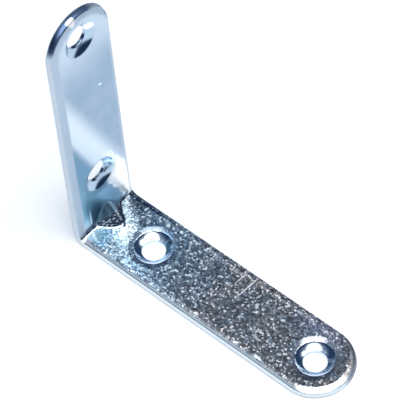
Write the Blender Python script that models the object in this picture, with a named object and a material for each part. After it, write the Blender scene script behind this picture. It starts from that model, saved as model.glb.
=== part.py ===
"""Narrow angle bracket, 60 x 60 x 15 mm, in zinc-plated steel strip.

It is made here as the real one is: a flat strip with round ends is cut, which rolls
its upper edges over, and its four screw holes are punched and countersunk. Then it is
folded once at its middle, and a stiffening rib is pressed from outside into the fold.

Metres, +Z up. The base leg lies along X on z = 0, the upright stands at the -X end,
and the origin is below the middle of the bounding box, on the underside.
"""
from math import cos, pi, radians, sin, sqrt

import bmesh
import bpy
from mathutils import Vector

# Strip and legs, lengths measured from the outer corner of the fold
BASE_LENGTH = 0.060
UPRIGHT_LENGTH = 0.060
WIDTH = 0.015
THICKNESS = 0.0018

# Edges: rolled over widely on the inside faces, only broken on the outside faces,
# with cut sides that lean inward. A roll power of 1 is an ellipse, above it the roll is flatter
ROLL_WIDTH = 0.0014
ROLL_DEPTH = 0.0005
ROLL_POWER = 1.6
EDGE_LEAN = 0.00030
EDGE_BREAK = 0.00035

# Fold: pressed sharp inside, so the strip thins and draws round more widely outside
FOLD_INSIDE_RADIUS = 0.0007
FOLD_OUTSIDE_RADIUS = 0.0038

# Screw holes, countersunk from the inside faces by a press that draws in a dish round each
HOLE_DIAMETER = 0.0045
SINK_DIAMETER = 0.0075
SINK_DEPTH = 0.00115
DISH_WIDTH = 0.0011
DISH_DEPTH = 0.00014
BASE_CORNER_TO_HOLE = 0.0135
BASE_END_TO_HOLE = 0.0075
UPRIGHT_CORNER_TO_HOLE = 0.0147
UPRIGHT_END_TO_HOLE = 0.0063

# Rib across the fold: its width with its feet, its rise above the sharp inner corner,
# the soft meeting with the legs, and how peaked its bell-shaped section is
RIB_WIDTH = 0.0104
RIB_RISE = 0.0028
RIB_FILLET = 0.0004
RIB_POWER = 1.5

# Fineness of the mesh
END_STEPS = 28
ROLL_STEPS = 5
BREAK_STEPS = 2
HOLE_STEPS = 36
DISH_STEPS = 3
FOLD_STEPS = 20
LEG_STEPS = 12
RIB_STEPS = 28

# Share of the thickness at which the strip keeps its length when it is folded
NEUTRAL_SHARE = 0.44

# Distance from the outer corner at which both faces of a leg are straight
FOLD_REACH = max(FOLD_OUTSIDE_RADIUS, THICKNESS + FOLD_INSIDE_RADIUS)
TINY = 1e-7


def clear_objects():
    """Removes whatever the open file holds."""
    for old in list(bpy.data.objects):
        bpy.data.objects.remove(old, do_unlink=True)


def collection(name):
    """A new collection in the scene."""
    group = bpy.data.collections.new(name)
    bpy.context.scene.collection.children.link(group)
    return group


def zinc():
    """Bright zinc plating with a faint blue tint."""
    material = bpy.data.materials.new("zinc_plate")
    material.use_nodes = True
    shader = material.node_tree.nodes["Principled BSDF"]
    shader.inputs["Base Color"].default_value = (0.60, 0.66, 0.73, 1.0)
    shader.inputs["Metallic"].default_value = 1.0
    shader.inputs["Roughness"].default_value = 0.28
    return material


def fold_radius(height):
    """Radius of the fold in the layer of the strip at a height above its outer face."""
    return FOLD_OUTSIDE_RADIUS + (FOLD_INSIDE_RADIUS - FOLD_OUTSIDE_RADIUS) * height / THICKNESS


def half_fold(height):
    """Length of one layer from the middle of the fold to the end of its reach: an arc, then straight."""
    radius = fold_radius(height)
    return radius * pi / 4 + FOLD_REACH - (height + radius)


HALF_FOLD = half_fold(NEUTRAL_SHARE * THICKNESS)


def along_strip(from_corner):
    """Distance from the middle of the flat strip, for a distance from the folded outer corner."""
    return HALF_FOLD + from_corner - FOLD_REACH


def round_edges(bm, height, offset, steps):
    """Rounds the strip's edge loop that lies at one height."""
    loop = []
    for edge in bm.edges:
        if all(abs(vert.co.z - height) < TINY for vert in edge.verts):
            loop.append(edge)
    bmesh.ops.bevel(bm, geom=loop, offset=offset, offset_type="OFFSET", segments=steps,
                    profile=0.5, affect="EDGES", clamp_overlap=True, material=-1)


def shape_edge(vert, upright_end, base_end, wall):
    """Draws the edge's quarter round out into a wide soft roll, and leans the cut side inward."""
    spine = Vector((min(max(vert.co.x, upright_end), base_end), 0.0, vert.co.z))
    outward = vert.co - spine
    inner = WIDTH / 2 - ROLL_WIDTH
    share = (outward.length - inner) / ROLL_WIDTH
    rolled = (vert.co.z - wall) / ROLL_WIDTH
    if rolled > TINY / ROLL_WIDTH:
        vert.co.z = wall + ROLL_DEPTH * rolled ** ROLL_POWER
        share = max(share, 0.0) ** ROLL_POWER
    lean = EDGE_LEAN * max(vert.co.z - EDGE_BREAK, 0.0) / (THICKNESS - EDGE_BREAK)
    reach = inner + ROLL_WIDTH * share - lean * share
    outward.normalize()
    vert.co.x = spine.x + outward.x * reach
    vert.co.y = outward.y * reach


def flat_strip(group):
    """The strip as cut: straight sides, half-round ends, outer face down, edges rounded."""
    bm = bmesh.new()
    radius = WIDTH / 2
    base_end = along_strip(BASE_LENGTH) - radius
    upright_end = radius - along_strip(UPRIGHT_LENGTH)
    starts = []
    stops = []
    for centre, side in ((base_end, -radius), (upright_end, radius)):
        start = bm.verts.new((centre, side, 0.0))
        arc = bmesh.ops.spin(bm, geom=[start], cent=(centre, 0.0, 0.0), axis=(0.0, 0.0, 1.0),
                             angle=pi, steps=END_STEPS)
        starts.append(start)
        stops.append(next(item for item in arc["geom_last"] if isinstance(item, bmesh.types.BMVert)))
    bm.edges.new((stops[0], starts[1]))
    bm.edges.new((stops[1], starts[0]))
    face = bmesh.ops.contextual_create(bm, geom=bm.edges[:])["faces"][0]
    raised = bmesh.ops.extrude_face_region(bm, geom=[face])["geom"]
    wall = THICKNESS - ROLL_DEPTH
    bmesh.ops.translate(bm, vec=(0.0, 0.0, wall + ROLL_WIDTH),
                        verts=[item for item in raised if isinstance(item, bmesh.types.BMVert)])
    round_edges(bm, wall + ROLL_WIDTH, ROLL_WIDTH, ROLL_STEPS)
    round_edges(bm, 0.0, EDGE_BREAK, BREAK_STEPS)
    for vert in bm.verts:
        shape_edge(vert, upright_end, base_end, wall)
    bmesh.ops.recalc_face_normals(bm, faces=bm.faces[:])
    return add_object(bm, "flat_strip", group)


def add_object(bm, name, group):
    """Turns a bmesh into a named object in a collection."""
    mesh = bpy.data.meshes.new(name)
    bm.to_mesh(mesh)
    bm.free()
    made = bpy.data.objects.new(name, mesh)
    group.objects.link(made)
    return made


def curve(first, corner, last, steps):
    """Points of a soft bend from one point to another, drawn toward a corner between them."""
    first, corner, last = Vector(first), Vector(corner), Vector(last)
    points = []
    for step in range(steps + 1):
        share = step / steps
        points.append(tuple(first.lerp(corner, share).lerp(corner.lerp(last, share), share)))
    return points


def sink_profile():
    """Section of a screw hole from the bore outward: a hollow cone, then the dish round it."""
    bore = HOLE_DIAMETER / 2
    sink = SINK_DIAMETER / 2
    foot = (bore, THICKNESS - SINK_DEPTH)
    rim = (sink, THICKNESS - DISH_DEPTH)
    hollow = (bore + 0.64 * (sink - bore), THICKNESS - 0.54 * SINK_DEPTH - 0.46 * DISH_DEPTH)
    cone = curve(foot, hollow, rim, DISH_STEPS)
    dish = curve(rim, (sink + 0.77 * DISH_WIDTH, THICKNESS), (sink + DISH_WIDTH, THICKNESS), DISH_STEPS)
    return cone + dish[1:]


def countersink_tool(position, group):
    """The turned tool of one screw hole: a shank for the bore, a cone for the screw head, a wide shoulder."""
    bm = bmesh.new()
    bore = HOLE_DIAMETER / 2
    outside = SINK_DIAMETER / 2 + 1.2 * DISH_WIDTH
    profile = [(0.0, -THICKNESS), (bore, -THICKNESS)]
    profile += sink_profile()
    profile += [(outside, THICKNESS + 4e-6), (outside, 2 * THICKNESS), (0.0, 2 * THICKNESS)]
    points = [bm.verts.new((radius, 0.0, height)) for radius, height in profile]
    for first, second in zip(points, points[1:]):
        bm.edges.new((first, second))
    bmesh.ops.spin(bm, geom=bm.verts[:] + bm.edges[:], cent=(0.0, 0.0, 0.0), axis=(0.0, 0.0, 1.0),
                   angle=2 * pi, steps=HOLE_STEPS, use_merge=True)
    bmesh.ops.remove_doubles(bm, verts=bm.verts[:], dist=TINY)
    bmesh.ops.recalc_face_normals(bm, faces=bm.faces[:])
    tool = add_object(bm, "countersink_tool", group)
    tool.location.x = position
    tool.hide_render = True
    tool.display_type = "WIRE"
    return tool


def punched_strip(group):
    """The flat strip with its four countersunk holes, as a bmesh. The tools are put away after use."""
    strip = flat_strip(group)
    tools = []
    base_holes = (BASE_CORNER_TO_HOLE, BASE_LENGTH - BASE_END_TO_HOLE)
    upright_holes = (UPRIGHT_CORNER_TO_HOLE, UPRIGHT_LENGTH - UPRIGHT_END_TO_HOLE)
    for side, holes in ((1, base_holes), (-1, upright_holes)):
        for from_corner in holes:
            tools.append(countersink_tool(side * along_strip(from_corner), group))
    for tool in tools:
        cut = strip.modifiers.new("screw_hole", "BOOLEAN")
        cut.operation = "DIFFERENCE"
        cut.solver = "EXACT"
        cut.object = tool
    depsgraph = bpy.context.evaluated_depsgraph_get()
    mesh = bpy.data.meshes.new_from_object(strip.evaluated_get(depsgraph))
    bm = bmesh.new()
    bm.from_mesh(mesh)
    bpy.data.meshes.remove(mesh)
    for used in tools + [strip]:
        bpy.data.objects.remove(used, do_unlink=True)
    return bm


def corner_depth(x, z):
    """How far a point lies past the sharp inner corner, square to the fold's diagonal."""
    return (x + z - 2 * THICKNESS) / sqrt(2)


# Where the middle of the fold lies before the rib is pressed, on the inside and the outside
INSIDE_DEPTH = FOLD_INSIDE_RADIUS * (sqrt(2) - 1)
OUTSIDE_DEPTH = FOLD_OUTSIDE_RADIUS * (sqrt(2) - 1) - THICKNESS * sqrt(2)

# The rib on the inside and its dent on the outside, one thickness apart:
# half width, depth of the crest, and depth where the flanks end
RIB_INSIDE = (RIB_WIDTH / 2, RIB_RISE, INSIDE_DEPTH - RIB_FILLET)
RIB_OUTSIDE = (RIB_WIDTH / 2 - 4 / 3 * THICKNESS, RIB_RISE - THICKNESS, OUTSIDE_DEPTH - RIB_FILLET)


def rib_profile(y, shape):
    """Depth of the pressed rib at a place across the strip: a bell with a rounded crest and wide feet."""
    half_width, crest, foot = shape
    across = min(abs(y) / half_width, 1.0)
    return foot + (crest - foot) * (0.5 + 0.5 * cos(pi * across)) ** RIB_POWER


def pressed(depth, rib):
    """How far the rib moves a skin that lies at a depth, with a soft meeting where both are level."""
    ahead = rib - depth
    soft = max(0.0, 1 - abs(ahead) / RIB_FILLET)
    return max(ahead, 0.0) + RIB_FILLET / 4 * soft * soft


def rib_stations(shape):
    """Places across the strip that follow the rib's section, closer together at its crest."""
    places = [0.0]
    for step in range(1, RIB_STEPS // 2 + 1):
        share = 2 * step / RIB_STEPS
        place = shape[0] * share * (0.6 + 0.4 * share)
        places += [place, -place]
    return places


def cut_at(bm, faces, place, direction):
    """Adds a line of edges across some faces."""
    geometry = dict.fromkeys(faces)
    for face in faces:
        geometry.update(dict.fromkeys(face.edges))
        geometry.update(dict.fromkeys(face.verts))
    bmesh.ops.bisect_plane(bm, geom=list(geometry), dist=TINY,
                           plane_co=direction * place, plane_no=direction)


def faces_within(bm, reach, height=None):
    """Faces near the middle of the strip, all of them or those of one skin."""
    found = []
    for face in bm.faces:
        near = all(abs(vert.co.x) < reach + TINY for vert in face.verts)
        level = height is None or all(abs(vert.co.z - height) < TINY for vert in face.verts)
        if near and level:
            found.append(face)
    return found


def divide_fold(bm):
    """Gives the fold and the rib's reach the edges that they turn on."""
    along = Vector((1.0, 0.0, 0.0))
    across = Vector((0.0, 1.0, 0.0))
    rib_end = THICKNESS + sqrt(2) * (RIB_RISE + RIB_FILLET)
    reach = along_strip(max(rib_end, FOLD_REACH + THICKNESS))
    for end in (-reach, reach):
        cut_at(bm, bm.faces[:], end, along)
    stations = [HALF_FOLD * (2 * step / FOLD_STEPS - 1) for step in range(FOLD_STEPS + 1)]
    for step in range(1, LEG_STEPS):
        place = HALF_FOLD + (reach - HALF_FOLD) * step / LEG_STEPS
        stations += [place, -place]
    for place in stations:
        cut_at(bm, faces_within(bm, reach), place, along)
    for height, shape in ((THICKNESS, RIB_INSIDE), (0.0, RIB_OUTSIDE)):
        for place in rib_stations(shape):
            cut_at(bm, faces_within(bm, reach, height), place, across)


def folded_section(place, height):
    """Takes a place along the flat strip and a height above its outer face into the folded section."""
    radius = fold_radius(height)
    arc = radius * pi / 4
    run = abs(place) * half_fold(height) / HALF_FOLD
    if abs(place) >= HALF_FOLD:
        along, up = FOLD_REACH + abs(place) - HALF_FOLD, height
    elif run > arc:
        along, up = height + radius + run - arc, height
    else:
        turn = pi / 4 - run / radius
        along, up = height + radius - radius * sin(turn), height + radius - radius * cos(turn)
    return (along, up) if place > 0 else (up, along)


def folded(point):
    """Takes a point of the flat strip to its place in the folded bracket, with the rib pressed in."""
    x, z = folded_section(point.x, point.z)
    depth = corner_depth(x, z)
    inside = pressed(depth, rib_profile(point.y, RIB_INSIDE))
    outside = pressed(depth, rib_profile(point.y, RIB_OUTSIDE))
    share = point.z / THICKNESS
    push = (inside * share + outside * (1 - share)) / sqrt(2)
    return Vector((x + push - BASE_LENGTH / 2, point.y, z + push))


def angle_bracket(group):
    """The finished bracket, one piece."""
    bm = punched_strip(group)
    divide_fold(bm)
    for vert in bm.verts:
        vert.co = folded(vert.co)
    bmesh.ops.recalc_face_normals(bm, faces=bm.faces[:])
    bracket = add_object(bm, "angle_bracket", group)
    bracket.data.shade_smooth()
    bracket.data.set_sharp_from_angle(angle=radians(28))
    bracket.data.materials.append(zinc())
    flats = bracket.modifiers.new("even_flats", "WEIGHTED_NORMAL")
    flats.keep_sharp = True
    return bracket


clear_objects()
angle_bracket(collection("narrow_angle_bracket"))
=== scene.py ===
"""Looks of the narrow angle bracket: bright zinc plate, on a white floor under soft studio light.

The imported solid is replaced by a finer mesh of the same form, made the same way: a strip is cut,
rolled at its edges, drilled and countersunk, folded, and given its rib. Metres, +Z up.
"""
from math import cos, pi, radians, sin, sqrt
from types import SimpleNamespace

import bmesh
import bpy
from mathutils import Matrix, Vector


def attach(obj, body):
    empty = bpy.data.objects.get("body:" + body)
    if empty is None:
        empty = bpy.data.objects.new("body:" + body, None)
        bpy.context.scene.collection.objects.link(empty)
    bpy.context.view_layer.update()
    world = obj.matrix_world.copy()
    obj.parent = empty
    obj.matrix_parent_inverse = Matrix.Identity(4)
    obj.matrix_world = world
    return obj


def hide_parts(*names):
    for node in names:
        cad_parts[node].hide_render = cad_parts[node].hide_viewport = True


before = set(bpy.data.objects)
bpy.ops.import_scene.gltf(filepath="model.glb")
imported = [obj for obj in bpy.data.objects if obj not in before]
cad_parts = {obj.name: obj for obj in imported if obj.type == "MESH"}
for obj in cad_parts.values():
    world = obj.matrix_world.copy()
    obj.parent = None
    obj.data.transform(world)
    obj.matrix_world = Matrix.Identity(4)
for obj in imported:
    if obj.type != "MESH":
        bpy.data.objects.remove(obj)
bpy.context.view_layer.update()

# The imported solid's own sizes
BASE_LENGTH = 0.060
UPRIGHT_LENGTH = 0.060
WIDTH = 0.015
THICKNESS = 0.0018
ROLL_WIDTH = 0.0014
ROLL_DEPTH = 0.0005
ROLL_POWER = 1.6
EDGE_LEAN = 0.00030
EDGE_BREAK = 0.00035
FOLD_INSIDE_RADIUS = 0.0007
FOLD_OUTSIDE_RADIUS = 0.0038
HOLE_DIAMETER = 0.0045
SINK_DIAMETER = 0.0075
SINK_DEPTH = 0.00115
DISH_WIDTH = 0.0011
DISH_DEPTH = 0.00014
BASE_HOLES = (0.0135, 0.0525)
UPRIGHT_HOLES = (0.0147, 0.0537)
RIB_WIDTH = 0.0104
RIB_RISE = 0.0028
RIB_FILLET = 0.0004
RIB_POWER = 1.5

# Shares that shape a screw hole's section: how far out and down its hollow lies, and where the
# dish turns level
HOLLOW_OUT = 0.64
HOLLOW_DOWN = 0.54
DISH_TURN = 0.77

# Softness that the plating gives to the lips of the holes
LIP_WIDTH = 0.00010
BORE_LIP = 0.00010

# Fineness of the shown mesh
END_STEPS = 72
ROLL_STEPS = 10
BREAK_STEPS = 3
HOLE_STEPS = 96
LIP_STEPS = 4
DISH_STEPS = 7
FOLD_STEPS = 36
LEG_STEPS = 26
RIB_STEPS = 52
STATION_DRAW = 0.4
SHARP_ANGLE = radians(40)

# How far the countersink's tool stands out past the dish, in dish widths, and up from the face
TOOL_MARGIN = 1.2
TOOL_CLEARANCE = 4e-6

NEUTRAL_SHARE = 0.44
FOLD_REACH = max(FOLD_OUTSIDE_RADIUS, THICKNESS + FOLD_INSIDE_RADIUS)
TINY = 1e-7

# The rib's half width, depth of crest and depth of foot, past the sharp inner corner, on each skin
INSIDE_DEPTH = FOLD_INSIDE_RADIUS * (sqrt(2) - 1)
OUTSIDE_DEPTH = FOLD_OUTSIDE_RADIUS * (sqrt(2) - 1) - THICKNESS * sqrt(2)
RIB_INSIDE = (RIB_WIDTH / 2, RIB_RISE, INSIDE_DEPTH - RIB_FILLET)
RIB_OUTSIDE = (RIB_WIDTH / 2 - 4 / 3 * THICKNESS, RIB_RISE - THICKNESS, OUTSIDE_DEPTH - RIB_FILLET)


def fold_radius(height):
    """Radius of the fold in the layer of the strip at a height above its outer face."""
    return FOLD_OUTSIDE_RADIUS + (FOLD_INSIDE_RADIUS - FOLD_OUTSIDE_RADIUS) * height / THICKNESS


def half_fold(height):
    """Length of one layer from the middle of the fold to the end of its reach."""
    radius = fold_radius(height)
    return radius * pi / 4 + FOLD_REACH - (height + radius)


HALF_FOLD = half_fold(NEUTRAL_SHARE * THICKNESS)


def along_strip(from_corner):
    """Distance from the middle of the flat strip, for a distance from the folded outer corner."""
    return HALF_FOLD + from_corner - FOLD_REACH


def add_object(bm, name):
    """Turns a bmesh into a named object in the scene."""
    mesh = bpy.data.meshes.new(name)
    bm.to_mesh(mesh)
    bm.free()
    made = bpy.data.objects.new(name, mesh)
    bpy.context.scene.collection.objects.link(made)
    return made


def round_edges(bm, height, offset, steps):
    """Rounds the strip's edge loop that lies at one height."""
    loop = []
    for edge in bm.edges:
        if all(abs(vert.co.z - height) < TINY for vert in edge.verts):
            loop.append(edge)
    bmesh.ops.bevel(bm, geom=loop, offset=offset, offset_type="OFFSET", segments=steps,
                    profile=0.5, affect="EDGES", clamp_overlap=True, material=-1)


def shape_edge(vert, upright_end, base_end, wall):
    """Draws the edge's quarter round out into a wide soft roll, and leans the cut side inward."""
    spine = Vector((min(max(vert.co.x, upright_end), base_end), 0.0, vert.co.z))
    outward = vert.co - spine
    inner = WIDTH / 2 - ROLL_WIDTH
    share = (outward.length - inner) / ROLL_WIDTH
    rolled = (vert.co.z - wall) / ROLL_WIDTH
    if rolled > TINY / ROLL_WIDTH:
        vert.co.z = wall + ROLL_DEPTH * rolled ** ROLL_POWER
        share = max(share, 0.0) ** ROLL_POWER
    lean = EDGE_LEAN * max(vert.co.z - EDGE_BREAK, 0.0) / (THICKNESS - EDGE_BREAK)
    reach = inner + ROLL_WIDTH * share - lean * share
    outward.normalize()
    vert.co.x = spine.x + outward.x * reach
    vert.co.y = outward.y * reach


def flat_strip():
    """The strip as cut, outer face down, with its edges rolled above and broken below."""
    bm = bmesh.new()
    radius = WIDTH / 2
    base_end = along_strip(BASE_LENGTH) - radius
    upright_end = radius - along_strip(UPRIGHT_LENGTH)
    starts = []
    stops = []
    for centre, side in ((base_end, -radius), (upright_end, radius)):
        start = bm.verts.new((centre, side, 0.0))
        arc = bmesh.ops.spin(bm, geom=[start], cent=(centre, 0.0, 0.0), axis=(0.0, 0.0, 1.0),
                             angle=pi, steps=END_STEPS)
        starts.append(start)
        last = arc["geom_last"]
        stops.append(next(item for item in last if isinstance(item, bmesh.types.BMVert)))
    bm.edges.new((stops[0], starts[1]))
    bm.edges.new((stops[1], starts[0]))
    face = bmesh.ops.contextual_create(bm, geom=bm.edges[:])["faces"][0]
    raised = bmesh.ops.extrude_face_region(bm, geom=[face])["geom"]
    wall = THICKNESS - ROLL_DEPTH
    bmesh.ops.translate(bm, vec=(0.0, 0.0, wall + ROLL_WIDTH),
                        verts=[item for item in raised if isinstance(item, bmesh.types.BMVert)])
    round_edges(bm, wall + ROLL_WIDTH, ROLL_WIDTH, ROLL_STEPS)
    round_edges(bm, 0.0, EDGE_BREAK, BREAK_STEPS)
    for vert in bm.verts:
        shape_edge(vert, upright_end, base_end, wall)
    bmesh.ops.recalc_face_normals(bm, faces=bm.faces[:])
    return add_object(bm, "flat_strip")


def curve(first, corner, last, steps):
    """Points of a soft bend from one point to another, drawn toward a corner between them."""
    first, corner, last = Vector(first), Vector(corner), Vector(last)
    points = []
    for step in range(steps + 1):
        share = step / steps
        points.append(tuple(first.lerp(corner, share).lerp(corner.lerp(last, share), share)))
    return points


def lip(corner, before, after, width):
    """Points of a soft lip in place of a turned profile's corner."""
    corner = Vector(corner)
    first = corner + (Vector(before) - corner).normalized() * width
    last = corner + (Vector(after) - corner).normalized() * width
    return curve(first, corner, last, LIP_STEPS)


def sink_profile():
    """Section of a screw hole from the bore outward: a hollow cone, then a shallow dish."""
    bore = HOLE_DIAMETER / 2
    sink = SINK_DIAMETER / 2
    foot = (bore, THICKNESS - SINK_DEPTH)
    rim = (sink, THICKNESS - DISH_DEPTH)
    hollow_depth = HOLLOW_DOWN * SINK_DEPTH + (1 - HOLLOW_DOWN) * DISH_DEPTH
    hollow = (bore + HOLLOW_OUT * (sink - bore), THICKNESS - hollow_depth)
    cone = curve(foot, hollow, rim, DISH_STEPS)
    dish_turn = (sink + DISH_TURN * DISH_WIDTH, THICKNESS)
    dish = curve(rim, dish_turn, (sink + DISH_WIDTH, THICKNESS), DISH_STEPS)
    section = lip(foot, (bore, 0.0), cone[1], BORE_LIP)
    section += cone[1:-1]
    section += lip(rim, cone[-2], dish[1], LIP_WIDTH)
    return section + dish[1:]


def countersink_tool(position):
    """The turned tool of one screw hole."""
    bm = bmesh.new()
    bore = HOLE_DIAMETER / 2
    outside = SINK_DIAMETER / 2 + TOOL_MARGIN * DISH_WIDTH
    profile = [(0.0, -THICKNESS), (bore, -THICKNESS)]
    profile += [tuple(point) for point in sink_profile()]
    profile += [(outside, THICKNESS + TOOL_CLEARANCE)]
    profile += [(outside, 2 * THICKNESS), (0.0, 2 * THICKNESS)]
    points = [bm.verts.new((radius, 0.0, height)) for radius, height in profile]
    for first, second in zip(points, points[1:]):
        bm.edges.new((first, second))
    bmesh.ops.spin(bm, geom=bm.verts[:] + bm.edges[:], cent=(0.0, 0.0, 0.0),
                   axis=(0.0, 0.0, 1.0), angle=2 * pi, steps=HOLE_STEPS, use_merge=True)
    bmesh.ops.remove_doubles(bm, verts=bm.verts[:], dist=TINY)
    bmesh.ops.recalc_face_normals(bm, faces=bm.faces[:])
    tool = add_object(bm, "countersink_tool")
    tool.location.x = position
    return tool


def punched_strip():
    """The flat strip with its countersunk holes, as a bmesh."""
    strip = flat_strip()
    tools = []
    for side, holes in ((1, BASE_HOLES), (-1, UPRIGHT_HOLES)):
        for from_corner in holes:
            tools.append(countersink_tool(side * along_strip(from_corner)))
    for tool in tools:
        cut = strip.modifiers.new("screw_hole", "BOOLEAN")
        cut.operation = "DIFFERENCE"
        cut.solver = "EXACT"
        cut.object = tool
    depsgraph = bpy.context.evaluated_depsgraph_get()
    mesh = bpy.data.meshes.new_from_object(strip.evaluated_get(depsgraph))
    bm = bmesh.new()
    bm.from_mesh(mesh)
    bpy.data.meshes.remove(mesh)
    for used in tools + [strip]:
        bpy.data.objects.remove(used, do_unlink=True)
    return bm


def corner_depth(x, z):
    """How far a point lies past the sharp inner corner, square to the fold's diagonal."""
    return (x + z - 2 * THICKNESS) / sqrt(2)


def rib_profile(y, shape):
    """Depth of the rib at a place across the strip: a bell with a rounded crest and wide feet."""
    half_width, crest, foot = shape
    across = min(abs(y) / half_width, 1.0)
    return foot + (crest - foot) * (0.5 + 0.5 * cos(pi * across)) ** RIB_POWER


def pressed(depth, rib):
    """How far the rib moves a skin that lies at a depth, with a soft meeting."""
    ahead = rib - depth
    soft = max(0.0, 1 - abs(ahead) / RIB_FILLET)
    return max(ahead, 0.0) + RIB_FILLET / 4 * soft * soft


def rib_stations(shape):
    """Places across the strip that follow the rib's section, closer together at its crest."""
    places = [0.0]
    for step in range(1, RIB_STEPS // 2 + 1):
        share = 2 * step / RIB_STEPS
        place = shape[0] * share * (1 - STATION_DRAW + STATION_DRAW * share)
        places += [place, -place]
    return places


def cut_at(bm, faces, place, direction):
    """Adds a line of edges across some faces."""
    geometry = dict.fromkeys(faces)
    for face in faces:
        geometry.update(dict.fromkeys(face.edges))
        geometry.update(dict.fromkeys(face.verts))
    bmesh.ops.bisect_plane(bm, geom=list(geometry), dist=TINY,
                           plane_co=direction * place, plane_no=direction)


def faces_within(bm, reach, height=None):
    """Faces near the middle of the strip, all of them or those of one skin."""
    found = []
    for face in bm.faces:
        near = all(abs(vert.co.x) < reach + TINY for vert in face.verts)
        level = height is None or all(abs(vert.co.z - height) < TINY for vert in face.verts)
        if near and level:
            found.append(face)
    return found


def divide_fold(bm):
    """Gives the fold and the rib's reach the edges that they turn on."""
    along = Vector((1.0, 0.0, 0.0))
    across = Vector((0.0, 1.0, 0.0))
    rib_end = THICKNESS + sqrt(2) * (RIB_RISE + RIB_FILLET)
    reach = along_strip(max(rib_end, FOLD_REACH + THICKNESS))
    for end in (-reach, reach):
        cut_at(bm, bm.faces[:], end, along)
    stations = [HALF_FOLD * (2 * step / FOLD_STEPS - 1) for step in range(FOLD_STEPS + 1)]
    for step in range(1, LEG_STEPS):
        place = HALF_FOLD + (reach - HALF_FOLD) * step / LEG_STEPS
        stations += [place, -place]
    for place in stations:
        cut_at(bm, faces_within(bm, reach), place, along)
    for height, shape in ((THICKNESS, RIB_INSIDE), (0.0, RIB_OUTSIDE)):
        for place in rib_stations(shape):
            cut_at(bm, faces_within(bm, reach, height), place, across)


def folded_section(place, height):
    """Takes a place along the flat strip, and a height over its outer face, into the fold."""
    radius = fold_radius(height)
    arc = radius * pi / 4
    run = abs(place) * half_fold(height) / HALF_FOLD
    if abs(place) >= HALF_FOLD:
        along, up = FOLD_REACH + abs(place) - HALF_FOLD, height
    elif run > arc:
        along, up = height + radius + run - arc, height
    else:
        turn = pi / 4 - run / radius
        along, up = height + radius - radius * sin(turn), height + radius - radius * cos(turn)
    return (along, up) if place > 0 else (up, along)


def folded(point):
    """Takes a point of the flat strip to its place in the bracket, folded and with its rib."""
    x, z = folded_section(point.x, point.z)
    depth = corner_depth(x, z)
    inside = pressed(depth, rib_profile(point.y, RIB_INSIDE))
    outside = pressed(depth, rib_profile(point.y, RIB_OUTSIDE))
    share = point.z / THICKNESS
    push = (inside * share + outside * (1 - share)) / sqrt(2)
    return Vector((x + push - BASE_LENGTH / 2, point.y, z + push))


def zinc_bracket():
    """The shown bracket, in one piece."""
    bm = punched_strip()
    divide_fold(bm)
    strip_place = bm.verts.layers.float_vector.new("strip_place")
    for vert in bm.verts:
        vert[strip_place] = vert.co
        vert.co = folded(vert.co)
    bmesh.ops.recalc_face_normals(bm, faces=bm.faces[:])
    bracket = add_object(bm, "zinc_bracket")
    bracket.data.shade_smooth()
    bracket.data.set_sharp_from_angle(angle=SHARP_ANGLE)
    flats = bracket.modifiers.new("even_flats", "WEIGHTED_NORMAL")
    flats.keep_sharp = True
    return bracket


# Finish of the plated steel, with painted highlights, reflections and shade. Places are those of
# the
# flat strip: along it from the fold, with the base on the plus side, across it, and up from its
# outer face.

# Colours of the upright
UPRIGHT_TEAL = (0.27, 0.385, 0.50)
UPRIGHT_LAVENDER = (0.32, 0.415, 0.545)
# painted reflection of the floor, which makes the upright's top paler
PALE_TOP = (0.57, 0.67, 0.76)
PALE_SHEEN = (0.69, 0.78, 0.86)
# painted reflection of the base in the foot of the upright
BLUE_FOOT = (0.16, 0.285, 0.39)
# painted dark reflection of the base, deep teal, on the upright by the fold
DEEP_TEAL = (0.055, 0.16, 0.235)
# painted highlights: a pale line by the rib's front foot, and a small glint
PALE_MARK = (0.75, 0.88, 0.98)
GLARE = (0.95, 0.97, 0.98)
UPRIGHT_CONE = (0.40, 0.52, 0.64)
UPRIGHT_NEAR_WALL = (0.48, 0.55, 0.615)
UPRIGHT_FAR_WALL = (0.38, 0.46, 0.54)
# painted light: the upright's rolled edge painted lighter over the dark reflection it shows
UPRIGHT_ROLL = (0.52, 0.62, 0.72)
# painted dark reflection in a band round the upright's round top, darkening the lamp's highlight
# there
DARK_BAND = (0.09, 0.14, 0.25)
# painted highlight on the rim of the upright's round top
LIGHT_RIM = (0.85, 0.88, 0.92)
# painted highlight as a white spot on the upright's round top
WHITE_SPOT = (0.95, 0.96, 0.97)
CONE_GLINT = (0.97, 0.98, 0.98)

# Colours of the base
BASE_BLUE = (0.42, 0.58, 0.74)
BASE_PALE_BLUE = (0.54, 0.70, 0.84)
BASE_GREY = (0.53, 0.54, 0.55)
# painted reflection of the upright on the base by the corner
NEAR_CORNER = (0.57, 0.72, 0.84)
COOL_CLOUD = (0.93, 1.0, 1.06)
WARM_CLOUD = (1.08, 0.99, 0.95)
COOL_CELL = (0.93, 0.99, 1.05)
WARM_CELL = (1.06, 1.0, 0.95)
# painted shade on the base beside the rib
BESIDE_RIB = (0.27, 0.34, 0.42)
LAVENDER_PATCH = (0.62, 0.65, 0.80)
BROWN_PATCH = (0.42, 0.41, 0.42)
# painted highlight in the smooth zone on the base beside the fold
BURNISHED = (0.60, 0.625, 0.65)
BASE_CONE = (0.57, 0.68, 0.80)
BASE_WALL = (0.60, 0.67, 0.71)
# painted shade at the low edge of the base's cut side
BASE_LOW_EDGE = (0.33, 0.37, 0.41)
FAR_END_WALL = (0.24, 0.27, 0.32)
RING_LIGHT = (0.95, 0.97, 0.98)
SCRATCH = (0.93, 0.94, 0.95)

# Patches on the strip: centre, half sizes, turn and the share of the reach that fades out
# the deep teal painted reflection on the upright by the fold
TEAL_PLACE = ((-0.0065, -0.0036), (0.0060, 0.0034), 0.3, 0.8)
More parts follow.
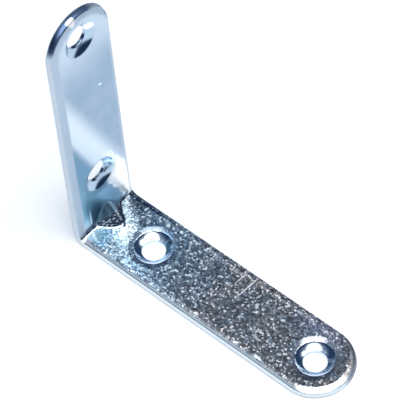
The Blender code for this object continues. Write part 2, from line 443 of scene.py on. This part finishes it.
# the painted highlight line by the rib's front foot
PRESS_MARK_PLACE = ((-0.0036, -0.0040), (0.0034, 0.00022), 0.0, 0.6)
SMALL_GLINT_PLACE = ((-0.0374, 0.0029), (0.0008, 0.00035), 0.9, 0.9)
CONE_GLINT_PLACE = ((-0.0538, 0.0027), (0.0018, 0.0013), 0.0, 0.3)
# the painted highlight spot on the upright's round top
WHITE_SPOT_PLACE = ((-0.0582, -0.0014), (0.0012, 0.0010), 0.0, 0.5)
LAVENDER_PLACE = ((0.0480, 0.0052), (0.0075, 0.0040), 0.0, 0.8)
BROWN_PLACE = ((0.0500, -0.0055), (0.0070, 0.0030), 0.0, 0.8)
SCRATCH_FADE = 0.7

# Scratches on the base: place along and across the strip, half length, half width and turn
SCRATCHES = (
    (0.0318, 0.0041, 0.004125, 0.000169, -0.068), (0.0295, 0.0048, 0.0025, 0.00013, -0.040),
    (0.0270, 0.0057, 0.00125, 0.00013, 0.0), (0.0230, 0.0025, 0.0005, 0.000208, 0.5),
    (0.0262, 0.0011, 0.000625, 0.000208, 0.1), (0.0275, 0.0002, 0.0005, 0.000182, 0.3),
    (0.0224, 0.0052, 0.00175, 0.000104, 0.1), (0.0342, -0.0060, 0.0005, 0.000182, 0.2),
    (0.0361, -0.0064, 0.000625, 0.000182, 0.2),
)

# How far the painted highlight beside the fold reaches on the base: share of the strip's width, and
# reach in REACH_UNIT metres
BURNISHED_REACH = (
    (0.0, 0.30), (0.20, 0.42), (0.42, 0.50), (0.52, 0.26), (0.60, 0.0), (1.0, 0.0),
)
REACH_UNIT = 0.010
BURNISHED_STRAY = 0.004

# The upright's sheen leans: its place is this much of the place across, less the place along
SHEEN_SLOPE = 2.35
SHEEN_WANDER = 0.0030

# Where a zone starts and where it is whole. Along the strip:
UPRIGHT_START = (0.0002, -0.0012)
GRAIN_START = (-0.0012, 0.0006)
BACK_EDGE_START = (0.0070, 0.0110)
BURNISHED_START = (-0.0002, 0.0006)
PAST_RIB = (0.0042, 0.0050)
PALE_TOP_START = (-0.041, -0.053)
GLARE_TOP = (-0.0190, -0.0160)
NEAR_CORNER_ALONG = (0.0130, 0.0070)
BESIDE_RIB_ALONG = (0.0062, 0.0030)
GREY_START = (0.010, 0.032)

# across it, from the near side at minus to the far side at plus:
NEAR_SIDE = (0.0015, -0.0010)
BACK_SIDE = (0.0048, 0.0060)
DARK_BAND_END = (0.0046, 0.0026)
ROLL_SIDE = (-0.0010, -0.0040)
GLARE_SIDE = (0.0, 0.0026)
NEAR_CORNER_ACROSS = (0.0030, 0.0005)
BESIDE_RIB_ACROSS = (0.0002, 0.0018)
FAR_WALL_START = (0.0010, 0.0040)

# off its middle line, to either side, and off its spine, which ends where the round ends begin:
OFF_RIB = (0.0030, 0.0040)
CUT_SIDE = (0.0056, 0.0062)
END_RIM = (0.0060, 0.0067)
ROLLED_EDGE = (0.0055, 0.0061)
DARK_BAND_REACH = (0.0069, 0.0071)

# past the straight part, into a round end:
END_ARC = (0.0, 0.0020)
TOP_ARC = (0.0018, 0.0036)

# up from the outer face, and off the middle of the thickness:
LOW_EDGE = (0.00065, 0.00025)
OFF_RIM = (0.00020, 0.00045)
UPPER_WALL = (0.00070, 0.00095)
OVER_WALL = (0.00125, 0.00140)
FLAT_FACE = (0.66 * THICKNESS / 2, 0.86 * THICKNESS / 2)

# by the leaning place of the sheen, and by how far inside its outline the painted highlight beside
# the fold lies:
SHEEN_RISE = (0.0115, 0.0165)
SHEEN_FALL = (0.0310, 0.0215)
# where the painted reflection of the base in the upright's foot starts
FOOT_START = (0.0150, 0.0105)
GLARE_RISE = (0.0140, 0.0162)
GLARE_FALL = (0.0275, 0.0245)
BURNISHED_EDGE = (0.0004, 0.0018)

# How strong a coat is where it is whole
PALE_TOP_SHARE = 0.75
SHEEN_SHARE = 0.95
NEAR_CORNER_SHARE = 0.9
BESIDE_RIB_SHARE = 0.85
CLOUD_HUE_SHARE = 0.85

# Clouds: how many in a metre, and the values of the noise where they start and are whole
UPRIGHT_CLOUDS = (210.0, 0.36, 0.64)
SHEEN_CLOUDS = (420.0, 0.30, 0.70)
BASE_CLOUDS = (170.0, 0.30, 0.72)
HUE_CLOUDS = (300.0, 0.38, 0.62)
CLOUD_DETAIL = 3.0
CLOUD_ROUGHNESS = 0.55

# Rings drawn in round the base's screw holes: reach of the ring and of the cone inside it, and the
# middle and reach of the light on its far side, for the hole by the fold and the one at the end
RING_REACH = 0.0050
RING_CONE_REACH = 0.0040
RING_LIGHT_PLACE = (-0.002856, 0.003108)
RING_LIGHT_REACH = 0.0030
RING_LIGHT_SHARES = (0.35, 1.0)
RING_FADE = 0.14
RING_CONE_FADE = 0.05
RING_LIGHT_FADE = 0.6
RING_SMOOTHNESS = 0.45

# Grain of the base: its cells in a metre, how soft and how bright they are, and which are bright
GRAIN = 2700.0
CELL_SMOOTHNESS = 0.30
CELL_POWER = 1.7
CELL_BRIGHT = 1.55
CELL_DARK = 0.34
BRIGHT_CELLS = (0.80, 0.92)
TWINKLE_FROM = (0.3, 0.7)
TWINKLE_TO = (0.55, 1.45)
BUMP_HEIGHT = 0.00006

# Fine noise: how many in a metre, detail and roughness
BURNISHED_NOISE = (900.0, 2.0, 0.6)
TWINKLE_NOISE = (2.2 * GRAIN, 2.0, 0.6)
BUMP_NOISE = (1500.0, 2.0, 0.6)

# Roughness, and what the zones add to it
PLAIN_ROUGHNESS = 0.20
ROUGHER_UPRIGHT = 0.14
ROUGHER_ROLL = 0.30
ROUGHER_BACK_EDGE = 0.24
ROUGHER_FAR_RIM = 0.28
ROUGHER_CELLS = 0.30
ROUGHER_LINES = 0.55
SMOOTHER_CONES = -0.02
SMOOTHER_UPRIGHT_CONES = -0.16

# Layout of the nodes, for whoever opens the material
NODES_IN_ROW = 12
NODE_SPACE = 220


def link(tree, from_socket, to_socket):
    """Joins two sockets."""
    tree.links.new(from_socket, to_socket)


def node(tree, kind, **values):
    """Adds a node in the next free place, with its settings and the values of its inputs."""
    made = tree.nodes.new(kind)
    row, column = divmod(len(tree.nodes), NODES_IN_ROW)
    made.location = (column * NODE_SPACE, -row * NODE_SPACE)
    for name, value in values.items():
        if hasattr(made, name):
            setattr(made, name, value)
        else:
            made.inputs[name.replace("_", " ")].default_value = value
    return made


def empty_tree(owner):
    """The node tree of a material or world, with nothing in it yet."""
    owner.use_nodes = True
    owner.node_tree.nodes.clear()
    return owner.node_tree


def band(tree, value, low, high):
    """A smooth step of a value, from 0 at low to 1 at high."""
    made = node(tree, "ShaderNodeMapRange", interpolation_type="SMOOTHSTEP",
                From_Min=low, From_Max=high)
    link(tree, value, made.inputs["Value"])
    return made.outputs["Result"]


def maths(tree, operation, *values):
    """One operation on one or two values, each a socket or a number."""
    made = node(tree, "ShaderNodeMath", operation=operation)
    for socket, value in zip(made.inputs, values):
        if isinstance(value, float):
            socket.default_value = value
        else:
            link(tree, value, socket)
    return made.outputs["Value"]


def product(tree, *shares):
    """Several shares multiplied together."""
    result = shares[0]
    for share in shares[1:]:
        result = maths(tree, "MULTIPLY", result, share)
    return result


def any_of(tree, *shares):
    """The greatest of several shares."""
    result = shares[0]
    for share in shares[1:]:
        result = maths(tree, "MAXIMUM", result, share)
    return result


def rest_of(tree, share):
    """What a share leaves over."""
    return maths(tree, "SUBTRACT", 1.0, share)


def blend(tree, share, first, second, mode="MIX"):
    """A mix of two colours, each a socket or a colour."""
    made = node(tree, "ShaderNodeMix", data_type="RGBA", blend_type=mode)
    if isinstance(share, float):
        made.inputs["Factor"].default_value = share
    else:
        link(tree, share, made.inputs["Factor"])
    for name, value in (("A", first), ("B", second)):
        socket = next(item for item in made.inputs if item.name == name and item.type == "RGBA")
        if isinstance(value, tuple):
            socket.default_value = (*value, 1.0)
        else:
            link(tree, value, socket)
    return next(item for item in made.outputs if item.type == "RGBA")


def coated(tree, colour, *coats):
    """A colour with coats over it, each a share and a colour, the last one on top."""
    for share, coat in coats:
        colour = blend(tree, share, colour, coat)
    return colour


def noise(tree, vector, scale, detail, roughness):
    """A cloudy value round one half."""
    made = node(tree, "ShaderNodeTexNoise", Scale=scale, Detail=detail, Roughness=roughness)
    link(tree, vector, made.inputs["Vector"])
    return made.outputs["Fac"]


def clouds(tree, vector, scale, low, high):
    """Soft clouds, as a share that runs from 0 to 1 between two values of the noise."""
    return band(tree, noise(tree, vector, scale, CLOUD_DETAIL, CLOUD_ROUGHNESS), low, high)


def patch(tree, vector, centre, size, turn, fade):
    """A soft oval on the strip, by its centre, half sizes, turn and the share that fades out."""
    local = node(tree, "ShaderNodeMapping", vector_type="TEXTURE", Location=(*centre, 0.0),
                 Rotation=(0.0, 0.0, turn), Scale=(*size, 1.0))
    link(tree, vector, local.inputs["Vector"])
    reach = node(tree, "ShaderNodeVectorMath", operation="LENGTH")
    link(tree, local.outputs["Vector"], reach.inputs[0])
    return band(tree, reach.outputs["Value"], 1.0, 1.0 - fade)


def round_patch(tree, vector, centre, reach, fade):
    """A soft round on the strip."""
    return patch(tree, vector, centre, (reach, reach), 0.0, fade)


def place_on_strip(tree):
    """A point's place on the flat strip, and how far past the straight part and off the spine."""
    strip = node(tree, "ShaderNodeAttribute", attribute_name="strip_place")
    split = node(tree, "ShaderNodeSeparateXYZ")
    link(tree, strip.outputs["Vector"], split.inputs["Vector"])
    along, across, height = split.outputs
    straight = along_strip(BASE_LENGTH) - WIDTH / 2
    past_straight = maths(tree, "SUBTRACT", maths(tree, "ABSOLUTE", along), straight)
    past_straight = maths(tree, "MAXIMUM", past_straight, 0.0)
    squares = maths(tree, "ADD", product(tree, past_straight, past_straight),
                    product(tree, across, across))
    return SimpleNamespace(vector=strip.outputs["Vector"], along=along, across=across,
                           height=height, past_straight=past_straight,
                           from_spine=maths(tree, "SQRT", squares))


def burnished_zone(tree, at):
    """The smooth zone on the base beside the fold, where a highlight is painted, wider in front of
    the rib.
    """
    reach = node(tree, "ShaderNodeFloatCurve")
    points = reach.mapping.curves[0].points
    for point, place in zip(points, (BURNISHED_REACH[0], BURNISHED_REACH[-1])):
        point.location = place
    for place in BURNISHED_REACH[1:-1]:
        points.new(*place)
    reach.mapping.update()
    width_share = node(tree, "ShaderNodeMapRange", From_Min=-WIDTH / 2, From_Max=WIDTH / 2)
    link(tree, at.across, width_share.inputs["Value"])
    link(tree, width_share.outputs["Result"], reach.inputs["Value"])
    limit = product(tree, reach.outputs["Value"], REACH_UNIT)
    limit = maths(tree, "SUBTRACT", limit, at.along)
    stray = maths(tree, "SUBTRACT", noise(tree, at.vector, *BURNISHED_NOISE), 0.5)
    limit = maths(tree, "ADD", limit, product(tree, stray, BURNISHED_STRAY))
    beside_rib = band(tree, maths(tree, "ABSOLUTE", at.across), *OFF_RIB)
    past_rib = band(tree, at.along, *PAST_RIB)
    on_base = band(tree, at.along, *BURNISHED_START)
    inside = band(tree, limit, *BURNISHED_EDGE)
    return product(tree, inside, any_of(tree, beside_rib, past_rib), on_base)


def ring_zones(tree, at):
    """The rings drawn in round the base's screw holes, and the light on their far sides."""
    rings = []
    lights = []
    for from_corner, light in zip(BASE_HOLES, RING_LIGHT_SHARES):
        centre = along_strip(from_corner)
        ring = round_patch(tree, at.vector, (centre, 0.0), RING_REACH, RING_FADE)
        cone = round_patch(tree, at.vector, (centre, 0.0), RING_CONE_REACH, RING_CONE_FADE)
        far_side = (centre + RING_LIGHT_PLACE[0], RING_LIGHT_PLACE[1])
        far_side = round_patch(tree, at.vector, far_side, RING_LIGHT_REACH, RING_LIGHT_FADE)
        rings.append(ring)
        lights.append(product(tree, ring, rest_of(tree, cone), far_side, light))
    return any_of(tree, *rings), any_of(tree, *lights)


def strip_zones(tree, at):
    """The zones of the strip that are finished alike, each as a share."""
    zone = SimpleNamespace()
    zone.upright = band(tree, at.along, *UPRIGHT_START)
    # the smooth zone beside the fold, with a painted highlight
    zone.burnished = burnished_zone(tree, at)
    zone.ring, zone.ring_light = ring_zones(tree, at)

    # the flat faces, and the base's back edge, which is grainy too
    from_middle = maths(tree, "ABSOLUTE", maths(tree, "SUBTRACT", at.height, THICKNESS / 2))
    flat = band(tree, from_middle, *FLAT_FACE)
    on_arc = band(tree, at.past_straight, *END_ARC)
    zone.back_edge = product(tree, band(tree, at.across, *BACK_SIDE),
                             band(tree, at.along, *BACK_EDGE_START), rest_of(tree, on_arc))
    zone.plate = any_of(tree, flat, zone.back_edge)

    # the rim of the strip's ends: plain and bright on the near side, grainy on the far side
    end_rim = product(tree, band(tree, at.from_spine, *END_RIM), on_arc)
    near_rim = product(tree, end_rim, band(tree, at.across, *NEAR_SIDE))
    zone.far_rim = maths(tree, "SUBTRACT", end_rim, near_rim)
    zone.grainy = product(tree, zone.plate, band(tree, at.along, *GRAIN_START),
                          rest_of(tree, zone.burnished), rest_of(tree, near_rim),
                          rest_of(tree, product(tree, zone.ring, RING_SMOOTHNESS)))

    # the cut side, against the cones of the screw holes
    zone.wall = band(tree, at.from_spine, *CUT_SIDE)
    zone.cone = rest_of(tree, any_of(tree, zone.wall, zone.plate))

    # the upright's round top: a band of painted dark reflection, a painted highlight on the rim
    # outside it and a painted highlight spot across it
    top_arc = band(tree, at.past_straight, *TOP_ARC)
    off_rim = band(tree, at.height, *OFF_RIM)
    zone.light_rim = product(tree, rest_of(tree, off_rim), zone.upright, top_arc)
    zone.dark_band = product(tree, zone.upright, top_arc,
                             band(tree, at.from_spine, *DARK_BAND_REACH),
                             band(tree, at.across, *DARK_BAND_END), off_rim)
    zone.white_spot = product(tree, patch(tree, at.vector, *WHITE_SPOT_PLACE),
                              band(tree, at.height, *UPPER_WALL))

    # the upright's rolled edge, on the near side and round the top
    rolled = any_of(tree, band(tree, at.across, *ROLL_SIDE), top_arc)
    zone.roll = product(tree, band(tree, at.from_spine, *ROLLED_EDGE), rolled,
                        band(tree, at.height, *OVER_WALL), zone.upright,
                        rest_of(tree, zone.dark_band))
    return zone


def upright_colour(tree, at):
    """Colour of the upright: a cloudy blue plate, with painted reflections (a pale top, a pale
    sheen that runs down across it, a blue foot and deep teal by the fold) and painted highlights.
    """
    slow = clouds(tree, at.vector, *UPRIGHT_CLOUDS)
    colour = blend(tree, slow, UPRIGHT_TEAL, UPRIGHT_LAVENDER)
    sheen_place = maths(tree, "SUBTRACT", product(tree, at.across, SHEEN_SLOPE), at.along)
    wander = product(tree, clouds(tree, at.vector, *SHEEN_CLOUDS), SHEEN_WANDER)
    ragged_place = maths(tree, "ADD", sheen_place, wander)
    top = product(tree, band(tree, at.along, *PALE_TOP_START), PALE_TOP_SHARE)
    sheen = product(tree, band(tree, sheen_place, *SHEEN_RISE),
                    band(tree, sheen_place, *SHEEN_FALL), SHEEN_SHARE)
    foot = band(tree, sheen_place, *FOOT_START)
    marks = any_of(tree, patch(tree, at.vector, *PRESS_MARK_PLACE),
                   patch(tree, at.vector, *SMALL_GLINT_PLACE))
    glare = product(tree, band(tree, at.across, *GLARE_SIDE),
                    band(tree, ragged_place, *GLARE_RISE),
                    band(tree, ragged_place, *GLARE_FALL), band(tree, at.along, *GLARE_TOP))
    return coated(tree, colour, (top, PALE_TOP), (sheen, PALE_SHEEN), (foot, BLUE_FOOT),
                  (patch(tree, at.vector, *TEAL_PLACE), DEEP_TEAL), (marks, PALE_MARK),
                  (glare, GLARE))


def base_colour(tree, at):
    """Colour of the base's grainy plate: blue by the fold, greyer beyond, in uneven patches, with a
    painted reflection by the corner and painted shade beside the rib.
    """
    slow = clouds(tree, at.vector, *BASE_CLOUDS)
    colour = blend(tree, slow, BASE_BLUE, BASE_PALE_BLUE)
    near_corner = product(tree, band(tree, at.along, *NEAR_CORNER_ALONG),
                          band(tree, at.across, *NEAR_CORNER_ACROSS), NEAR_CORNER_SHARE)
    far = band(tree, at.along, *GREY_START)
    colour = coated(tree, colour, (near_corner, NEAR_CORNER), (far, BASE_GREY))
    warm = clouds(tree, at.vector, *HUE_CLOUDS)
    hue = blend(tree, warm, COOL_CLOUD, WARM_CLOUD)
    colour = blend(tree, product(tree, far, CLOUD_HUE_SHARE), colour, hue, "MULTIPLY")
    beside_rib = product(tree, band(tree, at.along, *BESIDE_RIB_ALONG),
                         band(tree, at.across, *BESIDE_RIB_ACROSS), BESIDE_RIB_SHARE)
    return coated(tree, colour, (beside_rib, BESIDE_RIB),
                  (patch(tree, at.vector, *LAVENDER_PLACE), LAVENDER_PATCH),
                  (patch(tree, at.vector, *BROWN_PLACE), BROWN_PATCH))


def edge_colour(tree, at, zone):
    """Colour of the cut side and of the screw holes' cones, with painted shade at the base's low
    edge, and a painted dark reflection and painted highlights round the upright's top.
    """
    cone = blend(tree, zone.upright, BASE_CONE, UPRIGHT_CONE)
    cone = blend(tree, patch(tree, at.vector, *CONE_GLINT_PLACE), cone, CONE_GLINT)
    far_side = band(tree, at.across, *FAR_WALL_START)
    upright_wall = blend(tree, far_side, UPRIGHT_NEAR_WALL, UPRIGHT_FAR_WALL)
    # painted shade: the low edge of the base's cut side is darkened, as by the floor's contact
    # shadow
    low_edge = band(tree, at.height, *LOW_EDGE)
    base_wall = coated(tree, BASE_WALL, (low_edge, BASE_LOW_EDGE), (zone.far_rim, FAR_END_WALL))
    wall = blend(tree, zone.upright, base_wall, upright_wall)
    wall = coated(tree, wall, (zone.dark_band, DARK_BAND), (zone.light_rim, LIGHT_RIM),
                  (zone.white_spot, WHITE_SPOT))
    return blend(tree, zone.wall, cone, wall)


def scratches(tree, at):
    """Straight fine scratches across the base."""
    lines = []
    for along, across, half_length, half_width, turn in SCRATCHES:
        size = (half_width, half_length)
        lines.append(patch(tree, at.vector, (along, across), size, turn, SCRATCH_FADE))
    return any_of(tree, *lines)


def grain_cells(tree, at):
    """The base's grain of small dark and bright cells: its colour, and each cell's own value."""
    cells = node(tree, "ShaderNodeTexVoronoi", feature="SMOOTH_F1", Scale=GRAIN,
                 Smoothness=CELL_SMOOTHNESS)
    link(tree, at.vector, cells.inputs["Vector"])
    parts = node(tree, "ShaderNodeSeparateColor")
    link(tree, cells.outputs["Color"], parts.inputs["Color"])
    cell = parts.outputs["Red"]
    speck = product(tree, maths(tree, "POWER", cell, CELL_POWER), CELL_BRIGHT)
    speck = maths(tree, "ADD", speck, CELL_DARK)
    twinkle = node(tree, "ShaderNodeMapRange", From_Min=TWINKLE_FROM[0], From_Max=TWINKLE_FROM[1],
                   To_Min=TWINKLE_TO[0], To_Max=TWINKLE_TO[1])
    link(tree, noise(tree, at.vector, *TWINKLE_NOISE), twinkle.inputs["Value"])
    speck = product(tree, speck, twinkle.outputs["Result"])
    hue = blend(tree, parts.outputs["Green"], COOL_CELL, WARM_CELL)
    return blend(tree, 1.0, hue, speck, "MULTIPLY"), cell


def plate_roughness(tree, zone, cell, lines):
    """Roughness of the plating, over the zones, the bright cells and the scratches."""
    bright_cells = band(tree, cell, *BRIGHT_CELLS)
    roughness = PLAIN_ROUGHNESS
    for added in (
        (zone.back_edge, ROUGHER_BACK_EDGE), (zone.roll, ROUGHER_ROLL),
        (zone.far_rim, ROUGHER_FAR_RIM), (zone.cone, SMOOTHER_CONES),
        (zone.cone, zone.upright, SMOOTHER_UPRIGHT_CONES), (zone.upright, ROUGHER_UPRIGHT),
        (bright_cells, zone.grainy, ROUGHER_CELLS),
        (any_of(tree, lines, zone.ring_light), ROUGHER_LINES),
    ):
        roughness = maths(tree, "ADD", roughness, product(tree, *added))
    return roughness


def zinc_plate():
    """Bright zinc plate over pressed steel strip: grainy base, cloudy blue upright, shiny edges,
    with painted highlights, reflections and shade.
    """
    material = bpy.data.materials.new("zinc_plate")
    tree = empty_tree(material)
    output = node(tree, "ShaderNodeOutputMaterial")
    shader = node(tree, "ShaderNodeBsdfPrincipled", Metallic=1.0)
    link(tree, shader.outputs["BSDF"], output.inputs["Surface"])
    at = place_on_strip(tree)
    zone = strip_zones(tree, at)

    plate = blend(tree, zone.upright, base_colour(tree, at), upright_colour(tree, at))
    colour = blend(tree, zone.plate, edge_colour(tree, at, zone), plate)
    # painted light: the upright's rolled edge painted lighter, a painted highlight spot on its
    # round top, and a painted highlight in the smooth zone beside the fold
    colour = coated(tree, colour, (zone.roll, UPRIGHT_ROLL), (zone.white_spot, WHITE_SPOT),
                    (zone.burnished, BURNISHED))
    grain, cell = grain_cells(tree, at)
    colour = blend(tree, zone.grainy, colour, grain, "MULTIPLY")
    lines = scratches(tree, at)
    colour = coated(tree, colour, (zone.ring_light, RING_LIGHT), (lines, SCRATCH))
    link(tree, colour, shader.inputs["Base Color"])
    link(tree, plate_roughness(tree, zone, cell, lines), shader.inputs["Roughness"])

    depth = product(tree, noise(tree, at.vector, *BUMP_NOISE), zone.grainy)
    bump = node(tree, "ShaderNodeBump", Strength=1.0, Distance=BUMP_HEIGHT)
    link(tree, depth, bump.inputs["Height"])
    link(tree, bump.outputs["Normal"], shader.inputs["Normal"])
    return material


# Studio
FLOOR_HALF_SIZE = 4.0
FLOOR_GREY = 0.90
FLOOR_GLOW_COLOUR = (0.70, 0.84, 1.0)
FLOOR_GLOW = 0.25

# Lamps: name, direction from the bracket, size, radiance and colour
LAMP_DISTANCE = 1.1
LAMPS = (
    ("overhead_lamp", (0.25, -0.20, 0.943), 1.15, 3.9, (1.0, 0.98, 0.95)),
    ("right_lamp", (0.40, 0.39, 0.83), 0.50, 4.5, (1.0, 0.96, 0.90)),
    ("front_lamp", (-0.40, -0.39, 0.83), 0.30, 0.65, (0.88, 0.95, 1.0)),
)

# Colours of the surroundings, by how far up one looks: 0 at eye level and below, 1 straight above
ROOM_SHADES = (
    (0.0, (0.015, 0.035, 0.085)), (0.60, (0.02, 0.05, 0.12)),
    (0.80, (0.23, 0.28, 0.35)), (1.0, (0.33, 0.41, 0.53)),
)

# The photograph's camera: place, and its directions to the right, down and away
CAMERA_LENS = 243.98
CAMERA_SENSOR = 36.0
CAMERA_RANGE = (0.01, 20.0)
CAMERA_PLACE = (0.196986, -0.195822, 0.415064)
CAMERA_RIGHT = (0.7537423, 0.6545851, -0.0582317)
CAMERA_DOWN = (0.5063186, -0.6349271, -0.5835316)
CAMERA_AWAY = (-0.4189440, 0.4103486, -0.8100000)


def white_floor():
    """A wide plain floor that shows white, also in the metal, and keeps the shadow."""
    bm = bmesh.new()
    bmesh.ops.create_grid(bm, x_segments=1, y_segments=1, size=FLOOR_HALF_SIZE)
    floor = add_object(bm, "white_floor")
    material = bpy.data.materials.new("white_floor")
    tree = empty_tree(material)
    output = node(tree, "ShaderNodeOutputMaterial")
    shader = node(tree, "ShaderNodeBsdfPrincipled", Roughness=1.0)
    shader.inputs["Base Color"].default_value = (FLOOR_GREY, FLOOR_GREY, FLOOR_GREY, 1.0)
    shader.inputs["Specular IOR Level"].default_value = 0.0
    shader.inputs["Emission Color"].default_value = (*FLOOR_GLOW_COLOUR, 1.0)
    rays = node(tree, "ShaderNodeLightPath").outputs
    seen = any_of(tree, rays["Is Camera Ray"], rays["Is Glossy Ray"], rays["Is Transmission Ray"])
    link(tree, product(tree, seen, FLOOR_GLOW), shader.inputs["Emission Strength"])
    link(tree, shader.outputs["BSDF"], output.inputs["Surface"])
    floor.data.materials.append(material)


def soft_lamp(name, direction, size, radiance, colour):
    """A round soft lamp that faces the bracket."""
    lamp = bpy.data.lights.new(name, "AREA")
    lamp.shape = "DISK"
    lamp.size = size
    lamp.color = colour
    # a lamp's power is its radiance times its area times pi
    lamp.energy = radiance * pi * pi / 4 * size * size
    stand = bpy.data.objects.new(name, lamp)
    bpy.context.scene.collection.objects.link(stand)
    aim = Vector(direction).normalized()
    turn = aim.to_track_quat("Z", "Y").to_matrix().to_4x4()
    stand.matrix_world = Matrix.Translation(aim * LAMP_DISTANCE) @ turn


def dusky_room():
    """Dim bluish surroundings, darkest below and at eye level."""
    world = bpy.data.worlds.new("dusky_room")
    tree = empty_tree(world)
    output = node(tree, "ShaderNodeOutputWorld")
    background = node(tree, "ShaderNodeBackground")
    place = node(tree, "ShaderNodeTexCoord")
    split = node(tree, "ShaderNodeSeparateXYZ")
    link(tree, place.outputs["Generated"], split.inputs["Vector"])
    shade = node(tree, "ShaderNodeValToRGB")
    elements = shade.color_ramp.elements
    for element, (height, colour) in zip(elements, (ROOM_SHADES[0], ROOM_SHADES[-1])):
        element.position = height
        element.color = (*colour, 1.0)
    for height, colour in ROOM_SHADES[1:-1]:
        elements.new(height).color = (*colour, 1.0)
    link(tree, split.outputs["Z"], shade.inputs["Fac"])
    link(tree, shade.outputs["Color"], background.inputs["Color"])
    link(tree, background.outputs["Background"], output.inputs["Surface"])
    bpy.context.scene.world = world


def camera():
    """The camera of the photograph, from above and to the front right, with a long lens."""
    lens = bpy.data.cameras.new("camera")
    lens.sensor_width = CAMERA_SENSOR
    lens.lens = CAMERA_LENS
    lens.clip_start, lens.clip_end = CAMERA_RANGE
    stand = bpy.data.objects.new("camera", lens)
    bpy.context.scene.collection.objects.link(stand)
    turn = Matrix((Vector(CAMERA_RIGHT), -Vector(CAMERA_DOWN), -Vector(CAMERA_AWAY))).transposed()
    stand.matrix_world = Matrix.Translation(CAMERA_PLACE) @ turn.to_4x4()
    bpy.context.scene.camera = stand


bracket = zinc_bracket()
bracket.data.materials.clear()
bracket.data.materials.append(zinc_plate())
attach(bracket, "root")
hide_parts("angle_bracket")

white_floor()
dusky_room()
for lamp_values in LAMPS:
    soft_lamp(*lamp_values)
camera()

bpy.context.scene.view_settings.view_transform = "Standard"
